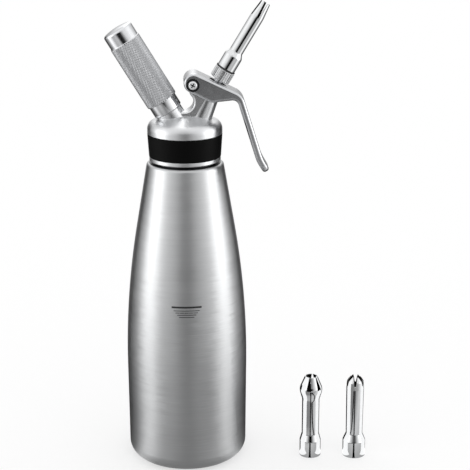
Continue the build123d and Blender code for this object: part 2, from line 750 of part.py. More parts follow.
def make_straight_nozzle():
    taper_top = straight_base_height + straight_taper
    slot_z = straight_length - straight_slot_length
    outer = [(0, 0), (straight_base_r, 0), (straight_base_r, straight_base_height),
             (straight_tube_r, taper_top), (straight_tube_r, slot_z), (straight_tip_r, straight_length),
             (0, straight_length)]
    bore_r = straight_tube_r - nozzle_wall
    inner = thread_socket() + [
        (bore_r, taper_top), (bore_r, slot_z), (straight_tip_r - nozzle_wall, straight_length + overcut),
        (0, straight_length + overcut)]
    rounds = {2: nozzle_shoulder_round_r, 3: nozzle_shoulder_round_r, 4: straight_tip_round_r}
    nozzle = nozzle_shell(outer, rounds, inner, {}, straight_vent_angle)
    turn = straight_slot_turn - 90
    for slot in radial_slots(straight_slots, turn, slot_z, straight_slot_low_width, straight_length + overcut,
                             straight_slot_top_width, straight_base_r):
        nozzle = nozzle - slot
    return valve_frame * Pos(0, 0, nozzle_bottom) * nozzle


def make_tulip_nozzle():
    taper_top = spare_base_height + spare_taper
    outer = [(0, 0), (tulip_base_r, 0), (tulip_base_r, spare_base_height), (tulip_tube_r, taper_top),
             (tulip_tube_r, tulip_neck_z), (tulip_bulb_r, tulip_bulb_z), (tulip_tip_r, spare_length),
             (0, spare_length)]
    wall = nozzle_wall
    inner = thread_socket() + [
        (tulip_tube_r - wall, taper_top), (tulip_tube_r - wall, tulip_neck_z),
        (tulip_bulb_r - wall, tulip_bulb_z), (tulip_tip_r - wall, spare_length),
        (tulip_tip_r - wall, spare_length + overcut), (0, spare_length + overcut)]
    rounds = {2: nozzle_shoulder_round_r, 3: nozzle_shoulder_round_r, 4: tulip_neck_round_r,
              5: tulip_bulb_round_r}
    inner_rounds = {4: tulip_neck_round_r + wall, 5: tulip_bulb_round_r - wall}
    nozzle = nozzle_shell(outer, rounds, inner, inner_rounds, tulip_vent_angle)
    turn = tulip_gap_turn - 90
    for slot in radial_slots(tulip_petals, turn, tulip_gap_z, tulip_gap_low_width, spare_length + overcut,
                             tulip_gap_top_width, 2 * tulip_bulb_r):
        nozzle = nozzle - slot
    return Pos(tulip_x, tulip_y, 0) * nozzle


def make_star_nozzle():
    taper_top = spare_base_height + spare_taper
    cap_z = spare_length - star_cap_height
    cap_r = star_tube_top_r - star_cap_taper
    outer = [(0, 0), (star_base_r, 0), (star_base_r, spare_base_height), (star_tube_low_r, taper_top),
             (star_tube_top_r, star_dome_z), (cap_r, cap_z), (star_tip_r, spare_length), (0, spare_length)]
    wall = nozzle_wall
    inner = thread_socket() + [
        (star_tube_low_r - wall, taper_top), (star_tube_top_r - wall, star_dome_z), (cap_r - wall, cap_z),
        (star_tip_r - wall, spare_length - wall / 2), (star_tip_r - wall, spare_length + overcut),
        (0, spare_length + overcut)]
    rounds = {2: nozzle_shoulder_round_r, 3: nozzle_shoulder_round_r, 5: star_cap_round_r}
    nozzle = nozzle_shell(outer, rounds, inner, {5: star_cap_round_r - wall}, star_vent_angle)
    turn = star_notch_turn - 90
    for slot in radial_slots(star_notches, turn, star_notch_z, star_notch_low_width, spare_length + overcut,
                             star_notch_top_width, 2 * star_tube_top_r):
        nozzle = nozzle - slot
    return Pos(star_x, star_y, 0) * nozzle


nodes = {
    "bottle": make_bottle,
    "head_gasket": make_head_gasket,
    "head_casting": make_head_casting,
    "grip_collar": make_grip_collar,
    "piercing_nipple": make_piercing_nipple,
    "nipple_seal": make_nipple_seal,
    "piercing_pin": make_piercing_pin,
    "charger_seal": make_charger_seal,
    "check_sleeve": make_check_sleeve,
    "gas_charger": make_gas_charger,
    "charger_holder": make_charger_holder,
    "valve_stem": make_valve_stem,
    "plug_seal": make_plug_seal,
    "stem_o_ring": make_stem_o_ring,
    "valve_spring": make_valve_spring,
    "spring_cap": make_spring_cap,
    "lever": make_lever,
    "pivot_barrel": make_pivot_barrel,
    "pivot_screw": make_pivot_screw,
    "nozzle_adaptor": make_nozzle_adaptor,
    "nozzle_seal": make_nozzle_seal,
    "straight_nozzle": make_straight_nozzle,
    "tulip_nozzle": make_tulip_nozzle,
    "star_nozzle": make_star_nozzle,
}

os.makedirs("parts", exist_ok=True)
for name, make in nodes.items():
    export_step(make(), f"parts/{name}.step")
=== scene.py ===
import math

import bmesh
import bpy
from mathutils import Matrix, Vector
from mathutils.bvhtree import BVHTree


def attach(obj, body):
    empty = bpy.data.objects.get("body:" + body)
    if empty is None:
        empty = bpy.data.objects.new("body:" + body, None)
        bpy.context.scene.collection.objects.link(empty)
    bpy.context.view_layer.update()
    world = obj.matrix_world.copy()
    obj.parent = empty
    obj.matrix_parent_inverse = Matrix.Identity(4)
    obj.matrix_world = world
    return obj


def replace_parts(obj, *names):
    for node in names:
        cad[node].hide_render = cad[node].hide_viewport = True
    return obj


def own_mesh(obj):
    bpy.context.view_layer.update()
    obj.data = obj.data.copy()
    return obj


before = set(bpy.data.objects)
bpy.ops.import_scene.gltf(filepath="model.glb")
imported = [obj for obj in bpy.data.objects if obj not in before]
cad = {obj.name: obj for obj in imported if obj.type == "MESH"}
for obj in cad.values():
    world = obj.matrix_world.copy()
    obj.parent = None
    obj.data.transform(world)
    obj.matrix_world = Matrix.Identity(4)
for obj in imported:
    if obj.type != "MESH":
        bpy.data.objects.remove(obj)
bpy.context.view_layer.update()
mm = 0.001

# Bottle
# A one litre bottle pressed and spun from stainless steel sheet. A fine belt has brushed it round its axis,
# which leaves short level scratches and pulls every highlight into an upright band. The neck and the
# shoulder under the head are painted dark grey as the shade in the gap under the head.


def linear(code):
    """An sRGB colour such as "c8c9cb" as linear red, green, blue and alpha."""
    shares = [int(code[i:i + 2], 16) / 255 for i in (0, 2, 4)]
    return [s / 12.92 if s <= 0.04045 else ((s + 0.055) / 1.055) ** 2.4 for s in shares] + [1.0]


def new_material(name):
    """An empty node material."""
    material = bpy.data.materials.new(name)
    material.use_nodes = True
    material.node_tree.nodes.clear()
    return material


def add_node(material, kind, settings=None, links=None):
    """Adds a node with its settings, which are sockets or fields, and links as socket: (node, output)."""
    node = material.node_tree.nodes.new(kind)
    for name, value in (settings or {}).items():
        if isinstance(name, int) or name in node.inputs:
            node.inputs[name].default_value = value
        else:
            setattr(node, name, value)
    for name, (source, output) in (links or {}).items():
        material.node_tree.links.new(source.outputs[output], node.inputs[name])
    return node


def dress(node, material):
    """Gives a CAD node its finish."""
    cad[node].material_slots[0].material = material


scratch_height = 0.8 * mm
scratch_length = 70 * mm
scratch_depth = 0.01 * mm
band_height = 4.0 * mm
dash_length = 14 * mm
strong_lean = 0.05
strong_below = 110 * mm
weak_lean = 0.02
weak_above = 180 * mm
gap_shade_r = 28.6 * mm
gap_shade_low = 248.9 * mm

# Brushed stainless steel: level scratches, drawn coarser than real ones so that they show, which differ a
# little in tone and gloss.
bottle_steel = new_material("brushed_stainless_steel")
place = add_node(bottle_steel, "ShaderNodeTexCoord")
fine_place = add_node(bottle_steel, "ShaderNodeMapping",
                      {"Scale": (1 / scratch_length, 1 / scratch_length, 1 / scratch_height)},
                      {"Vector": (place, "Object")})
fine = add_node(bottle_steel, "ShaderNodeTexNoise", {"Scale": 1.0, "Detail": 3.0, "Roughness": 0.65},
                {"Vector": (fine_place, "Vector")})
broad_place = add_node(bottle_steel, "ShaderNodeMapping",
                       {"Scale": (1 / scratch_length, 1 / scratch_length, 1 / band_height)},
                       {"Vector": (place, "Object")})
broad = add_node(bottle_steel, "ShaderNodeTexNoise", {"Scale": 1.0, "Detail": 2.0},
                 {"Vector": (broad_place, "Vector")})
grain = add_node(bottle_steel, "ShaderNodeMix", {"data_type": "FLOAT", "Factor": 0.35},
                 {"A": (fine, "Fac"), "B": (broad, "Fac")})
tone = add_node(bottle_steel, "ShaderNodeValToRGB", links={"Fac": (grain, "Result")})
tone.color_ramp.elements[0].position = 0.3
tone.color_ramp.elements[0].color = linear("c2c3c4")
tone.color_ramp.elements[1].position = 0.7
tone.color_ramp.elements[1].color = linear("cacbcc")
gloss = add_node(bottle_steel, "ShaderNodeMapRange",
                 {"From Min": 0.3, "From Max": 0.7, "To Min": 0.34, "To Max": 0.42},
                 {"Value": (grain, "Result")})
relief = add_node(bottle_steel, "ShaderNodeBump", {"Strength": 0.05, "Distance": scratch_depth},
                  {"Height": (fine, "Fac")})
round_axis = add_node(bottle_steel, "ShaderNodeTangent", {"direction_type": "RADIAL", "axis": "Z"})
# Short scratches, drawn coarse enough to show, lean a little to either side and fray the edges of the bright
# bands. They lean more on the wide part of the bottle, where the belt bears harder.
dash_place = add_node(bottle_steel, "ShaderNodeMapping",
                      {"Scale": (1 / dash_length, 1 / dash_length, 1 / scratch_height)},
                      {"Vector": (place, "Object")})
dashes = add_node(bottle_steel, "ShaderNodeTexNoise", {"Scale": 1.0, "Detail": 2.0},
                  {"Vector": (dash_place, "Vector")})
height = add_node(bottle_steel, "ShaderNodeSeparateXYZ", links={0: (place, "Object")})
side = add_node(bottle_steel, "ShaderNodeMapRange",
                {"From Min": 0.3, "From Max": 0.7, "To Min": -1.0, "To Max": 1.0},
                {"Value": (dashes, "Fac")})
most = add_node(bottle_steel, "ShaderNodeMapRange",
                {"From Min": strong_below, "From Max": weak_above,
                 "To Min": strong_lean, "To Max": weak_lean},
                {"Value": (height, "Z")})
lean = add_node(bottle_steel, "ShaderNodeMath", {"operation": "MULTIPLY"},
                {0: (side, "Result"), 1: (most, "Result")})
sideways = add_node(bottle_steel, "ShaderNodeVectorMath", {"operation": "SCALE"},
                    {0: (round_axis, "Tangent"), "Scale": (lean, "Value")})
leaning = add_node(bottle_steel, "ShaderNodeVectorMath", {"operation": "ADD"},
                   {0: (relief, "Normal"), 1: (sideways, "Vector")})
facing = add_node(bottle_steel, "ShaderNodeVectorMath", {"operation": "NORMALIZE"}, {0: (leaning, "Vector")})
level_place = add_node(bottle_steel, "ShaderNodeVectorMath", {"operation": "MULTIPLY", 1: (1, 1, 0)},
                       {0: (place, "Object")})
radius = add_node(bottle_steel, "ShaderNodeVectorMath", {"operation": "LENGTH"},
                  {0: (level_place, "Vector")})
# Painted shade: within the head's skirt and above the gap's foot the steel is coloured dark grey, as shade.
near_axis = add_node(bottle_steel, "ShaderNodeMath", {"operation": "LESS_THAN", 1: gap_shade_r},
                     {0: (radius, "Value")})
up_high = add_node(bottle_steel, "ShaderNodeMath", {"operation": "GREATER_THAN", 1: gap_shade_low},
                   {0: (height, "Z")})
neck_gap_shade = add_node(bottle_steel, "ShaderNodeMath", {"operation": "MULTIPLY"},
                   {0: (near_axis, "Value"), 1: (up_high, "Value")})
# Inputs 6 and 7 and output 2 of a mix node are its colours.
colour = add_node(bottle_steel, "ShaderNodeMix", {"data_type": "RGBA", 7: linear("4c4c4e")},
                  {"Factor": (neck_gap_shade, "Value"), 6: (tone, "Color")})
steel = add_node(bottle_steel, "ShaderNodeBsdfPrincipled",
                 {"Metallic": 1.0, "Anisotropic": 0.8, "Anisotropic Rotation": 0.25},
                 {"Base Color": (colour, 2), "Roughness": (gloss, "Result"), "Normal": (facing, "Vector"),
                  "Tangent": (round_axis, "Tangent")})
add_node(bottle_steel, "ShaderNodeOutputMaterial", links={"Surface": (steel, "BSDF")})
dress("bottle", bottle_steel)

# Fill mark
# A heavy line with four thinner and shorter ones under it, screen printed on the bottle's front in black ink
# and stoved. The heavy line is the level to fill to.


def add_piece(name, shape, material, body, crease=35):
    """Makes a finished bmesh a piece that rides on a body; edges past the crease angle stay sharp."""
    mesh = bpy.data.meshes.new(name)
    shape.to_mesh(mesh)
    shape.free()
    mesh.materials.append(material)
    mesh.shade_smooth()
    mesh.set_sharp_from_angle(angle=math.radians(crease))
    piece = bpy.data.objects.new(name, mesh)
    bpy.context.scene.collection.objects.link(piece)
    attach(piece, body)
    return piece


# The lines' heights, thicknesses and widths in millimetres.
mark_lines = [(142.7, 1.5, 23.6), (139.9, 0.55, 20.4), (138.2, 0.55, 17.6), (136.5, 0.55, 15.0),
              (134.7, 0.55, 12.0)]
mark_angle = math.radians(-91.0)
mark_steps = 24
ink_height = 0.03 * mm
ink_grain = 0.6 * mm

# Stoved screen ink: black, half matt, slightly uneven where the mesh laid it down.
mark_ink = new_material("black_screen_ink")
place = add_node(mark_ink, "ShaderNodeTexCoord")
mesh_print = add_node(mark_ink, "ShaderNodeTexNoise", {"Scale": 1 / ink_grain, "Detail": 2.0},
                      {"Vector": (place, "Object")})
tone = add_node(mark_ink, "ShaderNodeValToRGB", links={"Fac": (mesh_print, "Fac")})
tone.color_ramp.elements[0].color = linear("0c0c0d")
tone.color_ramp.elements[1].color = linear("26262a")
ink = add_node(mark_ink, "ShaderNodeBsdfPrincipled", {"Roughness": 0.45}, {"Base Color": (tone, "Color")})
add_node(mark_ink, "ShaderNodeOutputMaterial", links={"Surface": (ink, "BSDF")})

bottle_skin = BVHTree.FromObject(cad["bottle"], bpy.context.evaluated_depsgraph_get())
out_x = math.cos(mark_angle)
out_y = math.sin(mark_angle)
fill_mark = bmesh.new()
for height, thickness, width in mark_lines:
    ends = []
    for z in (height - thickness / 2, height + thickness / 2):
        hit = bottle_skin.ray_cast((out_x, out_y, z * mm), (-out_x, -out_y, 0))[0]
        ends.append((math.hypot(hit.x, hit.y) + ink_height, z * mm))
    half = math.asin(width * mm / 2 / ends[0][0])
    start = mark_angle - half
    side = [fill_mark.verts.new((r * math.cos(start), r * math.sin(start), z)) for r, z in ends]
    bmesh.ops.spin(fill_mark, geom=side + [fill_mark.edges.new(side)], cent=(0, 0, 0), axis=(0, 0, 1),
                   angle=2 * half, steps=mark_steps)
bmesh.ops.recalc_face_normals(fill_mark, faces=fill_mark.faces)
add_piece("fill_mark", fill_mark, mark_ink, "bottle")

# Seals
# The head's gasket, the O-rings and washers of the gas side and the valve, the charger's sleeve valve and
# the ring under the nozzle are moulded in black nitrile rubber, matt with a faint bloom.
bloom_size = 1.5 * mm
bloom_depth = 0.03 * mm

# Moulded nitrile rubber: nearly black, matt and a little cloudy.
seal_rubber = new_material("moulded_nitrile_rubber")
place = add_node(seal_rubber, "ShaderNodeTexCoord")
bloom = add_node(seal_rubber, "ShaderNodeTexNoise", {"Scale": 1 / bloom_size, "Detail": 4.0},
                 {"Vector": (place, "Object")})
tone = add_node(seal_rubber, "ShaderNodeValToRGB", links={"Fac": (bloom, "Fac")})
tone.color_ramp.elements[0].color = linear("0b0b0b")
tone.color_ramp.elements[1].color = linear("222223")
relief = add_node(seal_rubber, "ShaderNodeBump", {"Strength": 0.3, "Distance": bloom_depth},
                  {"Height": (bloom, "Fac")})
rubber = add_node(seal_rubber, "ShaderNodeBsdfPrincipled", {"Roughness": 0.62},
                  {"Base Color": (tone, "Color"), "Normal": (relief, "Normal")})
add_node(seal_rubber, "ShaderNodeOutputMaterial", links={"Surface": (rubber, "BSDF")})
for node in ("head_gasket", "nipple_seal", "charger_seal", "check_sleeve", "plug_seal", "stem_o_ring",
             "nozzle_seal"):
    dress(node, seal_rubber)

# Head
# Die-cast in aluminium with the charger's boss, the valve arm and the lever's lug in one piece. The arms are
# polished and their roots blended by the wheel, the dome is turned true about the bottle's axis, and the
# underside is as cast; below the ring it is painted dark grey as the shade in the gap over the bottle.
polish_round = 0.9 * mm
cloud_size = 9 * mm
grit_size = 0.35 * mm
grit_depth = 0.02 * mm
dome_top = 287.3 * mm
dome_width = 145.8 * mm
turned_skin = 0.3 * mm
turned_groove = 0.25 * mm
skirt_shade_top = 251.0 * mm

# Polished cast aluminium: bright, with a faint cloudiness and a very fine grain left by the blasting.
cast_aluminium = new_material("polished_cast_aluminium")
place = add_node(cast_aluminium, "ShaderNodeTexCoord")
cloud = add_node(cast_aluminium, "ShaderNodeTexNoise", {"Scale": 1 / cloud_size, "Detail": 3.0},
                 {"Vector": (place, "Object")})
grit = add_node(cast_aluminium, "ShaderNodeTexNoise", {"Scale": 1 / grit_size, "Detail": 2.0},
                {"Vector": (place, "Object")})
tone = add_node(cast_aluminium, "ShaderNodeValToRGB", links={"Fac": (cloud, "Fac")})
tone.color_ramp.elements[0].position = 0.3
tone.color_ramp.elements[0].color = linear("cbccce")
tone.color_ramp.elements[1].position = 0.7
tone.color_ramp.elements[1].color = linear("d8d9da")
gloss = add_node(cast_aluminium, "ShaderNodeMapRange",
                 {"From Min": 0.3, "From Max": 0.7, "To Min": 0.24, "To Max": 0.3},
                 {"Value": (cloud, "Fac")})
blend = add_node(cast_aluminium, "ShaderNodeBevel", {"Radius": polish_round, "samples": 6})
relief = add_node(cast_aluminium, "ShaderNodeBump", {"Strength": 0.06, "Distance": grit_depth},
                  {"Height": (grit, "Fac"), "Normal": (blend, "Normal")})
aluminium = add_node(cast_aluminium, "ShaderNodeBsdfPrincipled", {"Metallic": 1.0},
                     {"Base Color": (tone, "Color"), "Roughness": (gloss, "Result"),
                      "Normal": (relief, "Normal")})
level_place = add_node(cast_aluminium, "ShaderNodeVectorMath", {"operation": "MULTIPLY", 1: (1, 1, 0)},
                       {0: (place, "Object")})
radius = add_node(cast_aluminium, "ShaderNodeVectorMath", {"operation": "LENGTH"},
                  {0: (level_place, "Vector")})
height = add_node(cast_aluminium, "ShaderNodeSeparateXYZ", links={0: (place, "Object")})
# Turned aluminium: fine rings about the axis, which spread each highlight into a fan from the dome's middle.
rings = add_node(cast_aluminium, "ShaderNodeTexNoise",
                 {"noise_dimensions": "1D", "Scale": 1 / turned_groove}, {"W": (radius, "Value")})
ring_tone = add_node(cast_aluminium, "ShaderNodeValToRGB", links={"Fac": (rings, "Fac")})
ring_tone.color_ramp.elements[0].color = linear("c9cacc")
ring_tone.color_ramp.elements[1].color = linear("d9dadb")
# Painted shade: below the ring's foot the casting is coloured dark grey, as the shade in the gap over the
# bottle.
skirt_shade = add_node(cast_aluminium, "ShaderNodeMath", {"operation": "LESS_THAN", 1: skirt_shade_top},
                   {0: (height, "Z")})
turned_tone_and_shade = add_node(cast_aluminium, "ShaderNodeMix", {"data_type": "RGBA", 7: linear("3c3c3e")},
                       {"Factor": (skirt_shade, "Value"), 6: (ring_tone, "Color")})
round_axis = add_node(cast_aluminium, "ShaderNodeTangent", {"direction_type": "RADIAL", "axis": "Z"})
turned = add_node(cast_aluminium, "ShaderNodeBsdfPrincipled",
                  {"Metallic": 1.0, "Roughness": 0.36, "Anisotropic": 0.75, "Anisotropic Rotation": 0.25},
                  {"Base Color": (turned_tone_and_shade, 2), "Normal": (blend, "Normal"),
                   "Tangent": (round_axis, "Tangent")})
# A paraboloid close to the dome parts the turned surface from the arms that stand on it.
squared = add_node(cast_aluminium, "ShaderNodeMath", {"operation": "MULTIPLY"},
                   {0: (radius, "Value"), 1: (radius, "Value")})
over_dome = add_node(cast_aluminium, "ShaderNodeMath", {"operation": "MULTIPLY_ADD", 1: 1 / dome_width},
                     {0: (squared, "Value"), 2: (height, "Z")})
on_arms = add_node(cast_aluminium, "ShaderNodeMapRange",
                   {"From Min": dome_top + turned_skin, "From Max": dome_top + 3 * turned_skin},
                   {"Value": (over_dome, "Value")})
finish = add_node(cast_aluminium, "ShaderNodeMixShader",
                  links={"Fac": (on_arms, "Result"), 1: (turned, "BSDF"), 2: (aluminium, "BSDF")})
add_node(cast_aluminium, "ShaderNodeOutputMaterial", links={"Surface": (finish, "Shader")})
dress("head_casting", cast_aluminium)

# Grip collar
# A moulded black silicone sleeve stretched over the head's skirt, so that wet hands can unscrew the head.
# Its skin is matt with a fine moulded grain.
collar_grain = 0.5 * mm
collar_grain_depth = 0.03 * mm

# Moulded silicone: deep black with hardly any shine.
collar_silicone = new_material("moulded_black_silicone")
place = add_node(collar_silicone, "ShaderNodeTexCoord")
skin = add_node(collar_silicone, "ShaderNodeTexNoise", {"Scale": 1 / collar_grain, "Detail": 3.0},
                {"Vector": (place, "Object")})
tone = add_node(collar_silicone, "ShaderNodeValToRGB", links={"Fac": (skin, "Fac")})
tone.color_ramp.elements[0].color = linear("030303")
tone.color_ramp.elements[1].color = linear("070707")
gloss = add_node(collar_silicone, "ShaderNodeMapRange", {"To Min": 0.42, "To Max": 0.56},
                 {"Value": (skin, "Fac")})
relief = add_node(collar_silicone, "ShaderNodeBump", {"Strength": 0.25, "Distance": collar_grain_depth},
                  {"Height": (skin, "Fac")})
silicone = add_node(collar_silicone, "ShaderNodeBsdfPrincipled", {"Specular IOR Level": 0.06},
                    {"Base Color": (tone, "Color"), "Roughness": (gloss, "Result"),
                     "Normal": (relief, "Normal")})
add_node(collar_silicone, "ShaderNodeOutputMaterial", links={"Surface": (silicone, "BSDF")})
dress("grip_collar", collar_silicone)

# Piercing nipple
# Turned from brass bar, nickel plated and screwed into the head's boss; the charger holder screws on it. The
# lathe leaves fine rings round its axis.
charger_tilt = math.radians(-31.3)
crossing_z = 269.5 * mm
turned_ring = 0.3 * mm
nipple_ring_run = 30 * mm


def tool_rings(material, run):
    """Lathe rings square to the charger's axis, each alike for that length across it."""
    place = add_node(material, "ShaderNodeTexCoord")
    upright = add_node(material, "ShaderNodeMapping",
                       {"vector_type": "TEXTURE", "Rotation": (0, charger_tilt, 0)},
                       {"Vector": (place, "Object")})
    rings_place = add_node(material, "ShaderNodeMapping", {"Scale": (1 / run, 1 / run, 1 / turned_ring)},
                           {"Vector": (upright, "Vector")})
    return add_node(material, "ShaderNodeTexNoise", {"Scale": 1.0, "Detail": 2.0},
                    {"Vector": (rings_place, "Vector")})


# Nickel over turned brass: warm grey, with fine tool rings square to the charger's axis.
nipple_nickel = new_material("nickel_plated_brass")
rings = tool_rings(nipple_nickel, nipple_ring_run)
tone = add_node(nipple_nickel, "ShaderNodeValToRGB", links={"Fac": (rings, "Fac")})
tone.color_ramp.elements[0].color = linear("a9a59c")
tone.color_ramp.elements[1].color = linear("c4c1b9")
nickel = add_node(nipple_nickel, "ShaderNodeBsdfPrincipled", {"Metallic": 1.0, "Roughness": 0.28},
                  {"Base Color": (tone, "Color")})
add_node(nipple_nickel, "ShaderNodeOutputMaterial", links={"Surface": (nickel, "BSDF")})
dress("piercing_nipple", nipple_nickel)

# Steel pieces inside
# The hollow piercing pin, the gas charger, the valve's stem and its spring are plain bright steel with a
# drawn surface; most of them are seen only when the whipper is taken apart.
draw_mark = 1.2 * mm

# Bright drawn steel: mid grey, cloudy and rather shiny.
drawn_steel = new_material("bright_drawn_steel")
place = add_node(drawn_steel, "ShaderNodeTexCoord")
draw_marks = add_node(drawn_steel, "ShaderNodeTexNoise", {"Scale": 1 / draw_mark, "Detail": 4.0},
                      {"Vector": (place, "Object")})
tone = add_node(drawn_steel, "ShaderNodeValToRGB", links={"Fac": (draw_marks, "Fac")})
tone.color_ramp.elements[0].color = linear("a2a3a6")
tone.color_ramp.elements[1].color = linear("c6c7c9")
gloss = add_node(drawn_steel, "ShaderNodeMapRange", {"To Min": 0.18, "To Max": 0.34},
                 {"Value": (draw_marks, "Fac")})
bright = add_node(drawn_steel, "ShaderNodeBsdfPrincipled", {"Metallic": 1.0},
                  {"Base Color": (tone, "Color"), "Roughness": (gloss, "Result")})
add_node(drawn_steel, "ShaderNodeOutputMaterial", links={"Surface": (bright, "BSDF")})
for node in ("piercing_pin", "gas_charger", "valve_stem"):
    dress(node, drawn_steel)

# Charger holder
# Turned from aluminium bar, polished at both ends and knurled between them with crossed wheels that press
# rows of small pyramids. It screws over the gas charger and pushes it on to the pin.
close_by = 1e-6
same_point = 1e-7


def lathe(points, steps):
    """Turns a chain of (radius, height) corners in millimetres round Z."""
    shape = bmesh.new()
    chain = [shape.verts.new((r * mm, 0, z * mm)) for r, z in points]
    edges = [shape.edges.new(pair) for pair in zip(chain, chain[1:])]
    bmesh.ops.spin(shape, geom=chain + edges, cent=(0, 0, 0), axis=(0, 0, 1), angle=2 * math.pi, steps=steps,
                   use_merge=True)
    bmesh.ops.remove_doubles(shape, verts=shape.verts, dist=same_point)
    bmesh.ops.recalc_face_normals(shape, faces=shape.faces)
    return shape


def round_corner(shape, radius, height, size):
    """Rounds the ring of edges that lies at that radius and height, in millimetres."""
    ring = [e for e in shape.edges
            if all(abs(math.hypot(v.co.x, v.co.y) - radius * mm) < close_by for v in e.verts)
            and all(abs(v.co.z - height * mm) < close_by for v in e.verts)]
    bmesh.ops.bevel(shape, geom=ring, offset=size * mm, segments=4, profile=0.5, affect="EDGES", material=-1)


# Sizes in millimetres, heights along the charger's axis from where it crosses the bottle's.
to_charger = Matrix.Translation((0, 0, crossing_z)) @ Matrix.Rotation(charger_tilt, 4, "Y")
holder_bottom = 24.8
low_top = 33.9
grip_top = 88.3
holder_end = 99.3
end_rise = 1.7
end_edge_r = 2.2
low_r = 11.65
low_edge_r = 0.4
grip_r = 12.8
cap_r = 12.2
thread_bore_r = 10.3
thread_bore_top = 34.8
charger_bore_r = 9.4
charger_bore_low = 35.8
knurl_depth = 0.3
knurl_pitch = 1.75
holder_step = 0.4
groove_r = grip_r - knurl_depth
holder_facets = 96
end_steps = 8
holder_ring_run = 40 * mm
ring_depth = 0.01 * mm
dull_patch = 2.5 * mm

# Polished turned aluminium: faint tool rings square to the holder's axis.
holder_polish = new_material("polished_turned_aluminium")
rings = tool_rings(holder_polish, holder_ring_run)
tone = add_node(holder_polish, "ShaderNodeValToRGB", links={"Fac": (rings, "Fac")})
tone.color_ramp.elements[0].color = linear("cacbcd")
tone.color_ramp.elements[1].color = linear("dcdddf")
gloss = add_node(holder_polish, "ShaderNodeMapRange", {"To Min": 0.12, "To Max": 0.2},
                 {"Value": (rings, "Fac")})
relief = add_node(holder_polish, "ShaderNodeBump", {"Strength": 0.05, "Distance": ring_depth},
                  {"Height": (rings, "Fac")})
polish = add_node(holder_polish, "ShaderNodeBsdfPrincipled", {"Metallic": 1.0},
                  {"Base Color": (tone, "Color"), "Roughness": (gloss, "Result"),
                   "Normal": (relief, "Normal")})
add_node(holder_polish, "ShaderNodeOutputMaterial", links={"Surface": (polish, "BSDF")})

# Knurled aluminium: the pressed pyramids are duller than the turned ends.
knurl_finish = new_material("knurled_aluminium")
place = add_node(knurl_finish, "ShaderNodeTexCoord")
dulling = add_node(knurl_finish, "ShaderNodeTexNoise", {"Scale": 1 / dull_patch, "Detail": 3.0},
                   {"Vector": (place, "Object")})
tone = add_node(knurl_finish, "ShaderNodeValToRGB", links={"Fac": (dulling, "Fac")})
tone.color_ramp.elements[0].color = linear("a2a3a5")
tone.color_ramp.elements[1].color = linear("b0b1b3")
gloss = add_node(knurl_finish, "ShaderNodeMapRange", {"To Min": 0.3, "To Max": 0.38},
                 {"Value": (dulling, "Fac")})
knurled = add_node(knurl_finish, "ShaderNodeBsdfPrincipled", {"Metallic": 1.0},
                   {"Base Color": (tone, "Color"), "Roughness": (gloss, "Result")})
add_node(knurl_finish, "ShaderNodeOutputMaterial", links={"Surface": (knurled, "BSDF")})

# The end is a shallow dome that runs into a rounded edge.
dome_r = (cap_r ** 2 + end_rise ** 2) / (2 * end_rise)
dome_z = holder_end + end_rise - dome_r
edge_r = cap_r - end_edge_r
edge_z = dome_z + math.sqrt((dome_r - end_edge_r) ** 2 - edge_r ** 2)
meeting = math.atan2(edge_z - dome_z, edge_r)
domed_end = []
for step in range(end_steps + 1):
    angle = meeting * step / end_steps
    domed_end.append((edge_r + end_edge_r * math.cos(angle), edge_z + end_edge_r * math.sin(angle)))
for step in range(1, end_steps):
    angle = meeting + (math.pi / 2 - meeting) * step / end_steps
    domed_end.append((dome_r * math.cos(angle), dome_z + dome_r * math.sin(angle)))
domed_end.append((0, dome_z + dome_r))
holder_body = lathe([
    (charger_bore_r, charger_bore_low), (thread_bore_r, thread_bore_top), (thread_bore_r, holder_bottom),
    (low_r, holder_bottom), (low_r, low_top), (groove_r, low_top + holder_step), (groove_r, grip_top),
    (cap_r, grip_top + holder_step)] + domed_end, holder_facets)
round_corner(holder_body, low_r, holder_bottom, low_edge_r)
holder_body.transform(to_charger)
body_piece = add_piece("holder_body", holder_body, holder_polish, "holder")
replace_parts(body_piece, "charger_holder")

# The knurl is a tube whose corners stand high and low by turns.
grip_length = grip_top - low_top - holder_step
rows = 2 * round(grip_length / knurl_pitch)
columns = 2 * round(2 * math.pi * grip_r / knurl_pitch)
grip = bmesh.new()
bmesh.ops.create_cone(grip, cap_ends=False, segments=columns, radius1=grip_r * mm, radius2=grip_r * mm,
                      depth=grip_length * mm)
standing = [e for e in grip.edges if abs(e.verts[0].co.z - e.verts[1].co.z) > grip_length / 2 * mm]
bmesh.ops.subdivide_edges(grip, edges=standing, cuts=rows - 1, use_grid_fill=True)
for vert in grip.verts:
    row = round((vert.co.z / mm / grip_length + 0.5) * rows)
    column = round(math.atan2(vert.co.y, vert.co.x) / (2 * math.pi) * columns)
    if (row + column) % 2 == 0 or row in (0, rows):
        vert.co.xy *= groove_r / grip_r
bmesh.ops.triangulate(grip, faces=grip.faces, quad_method="SHORT_EDGE")
grip.transform(to_charger @ Matrix.Translation((0, 0, (low_top + holder_step + grip_length / 2) * mm)))
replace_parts(add_piece("holder_grip", grip, knurl_finish, "holder", crease=20),
            "charger_holder")

# Valve spring
# Wound from round spring wire. It stands in the arm's well and pushes the cap, stem and lever up, and it
# closes up when the lever is squeezed. Sizes are in millimetres along the valve's axis.
valve_tilt = math.radians(31.1)
to_valve = Matrix.Translation((0, 0, crossing_z)) @ Matrix.Rotation(valve_tilt, 4, "Y")
spring_low = 29.05
spring_high = 41.55
coil_r = 4.9
wire_r = 0.5
wire_facets = 10
coil_turns = 6
turn_facets = 32

